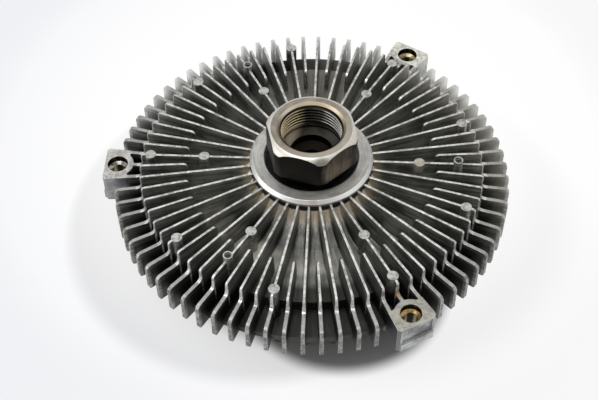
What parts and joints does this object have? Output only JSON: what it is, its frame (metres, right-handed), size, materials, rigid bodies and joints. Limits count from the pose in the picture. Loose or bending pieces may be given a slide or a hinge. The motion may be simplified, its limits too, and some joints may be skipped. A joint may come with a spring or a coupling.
{
  "type": "viscous fan clutch",
  "caption": "Viscous fan clutch: finned die-cast housing with fan ears, hexagon input shaft with internal thread on a ball bearing, finned front cover with a bimetal valve.",
  "frame": {"origin": "centre of the fan bolt circle, on the machined face of the three ears", "axes": "+Z along the axis from the front cover to the hexagon, +X at 60 degrees from an ear"},
  "size_m": [0.1572, 0.1526, 0.0543],
  "materials": {
    "cast_aluminium": "die-cast, dull, slightly darkened between the fins",
    "shaft_steel": "turned and oiled, dark brown flanks",
    "bearing_steel": "ground",
    "sheet_steel": "pressed sheet",
    "spring_steel": "dark spring steel",
    "turned_aluminium": "turned",
    "seal_rubber": "matte black",
    "fastener_steel": "zinc plated",
    "bimetal": "rolled, warm grey"
  },
  "bodies": {
    "housing": {"rear_housing": "cast_aluminium", "front_cover": "cast_aluminium", "bearing_outer_ring": "bearing_steel", "bearing_shields": "sheet_steel", "bearing_circlip": "spring_steel", "cover_seal": "seal_rubber", "divider_plate": "sheet_steel", "plate_screws": "fastener_steel", "valve_pivot_pin": "fastener_steel", "pin_seal": "seal_rubber", "bimetal_strip": "bimetal", "strip_holders": "sheet_steel", "holder_rivets": "fastener_steel"},
    "input": {"input_shaft": "shaft_steel", "bearing_inner_ring": "bearing_steel", "rotor_disc": "turned_aluminium"},
    "ball_set": {"bearing_balls": "bearing_steel", "bearing_cage": "sheet_steel"},
    "pin": {"control_pin": "bearing_steel"},
    "lever": {"valve_lever": "spring_steel"}
  },
  "joints": [
    {"name": "input_spin", "type": "hinge", "parent": "housing", "child": "input", "pos_m": [0, 0, 0], "axis": [0, 0, 1], "continuous": true},
    {"name": "cage_spin", "type": "hinge", "parent": "housing", "child": "ball_set", "pos_m": [0, 0, 0], "axis": [0, 0, 1], "continuous": true},
    {"name": "pin_slide", "type": "slide", "parent": "housing", "child": "pin", "axis": [0, 0, -1], "range_m": [0, 0.0012], "stiffness_N_per_m": 300, "deforming": ["bimetal_strip"]},
    {"name": "valve_swing", "type": "hinge", "parent": "housing", "child": "lever", "pos_m": [-0.02, 0, -0.01914], "axis": [0, 1, 0], "range_deg": [0, 3.5]}
  ],
  "couplings": [
    {"joint": "cage_spin", "follows": "input_spin", "ratio": 0.38175},
    {"joint": "valve_swing", "follows": "pin_slide", "rad_per_m": 50}
  ]
}
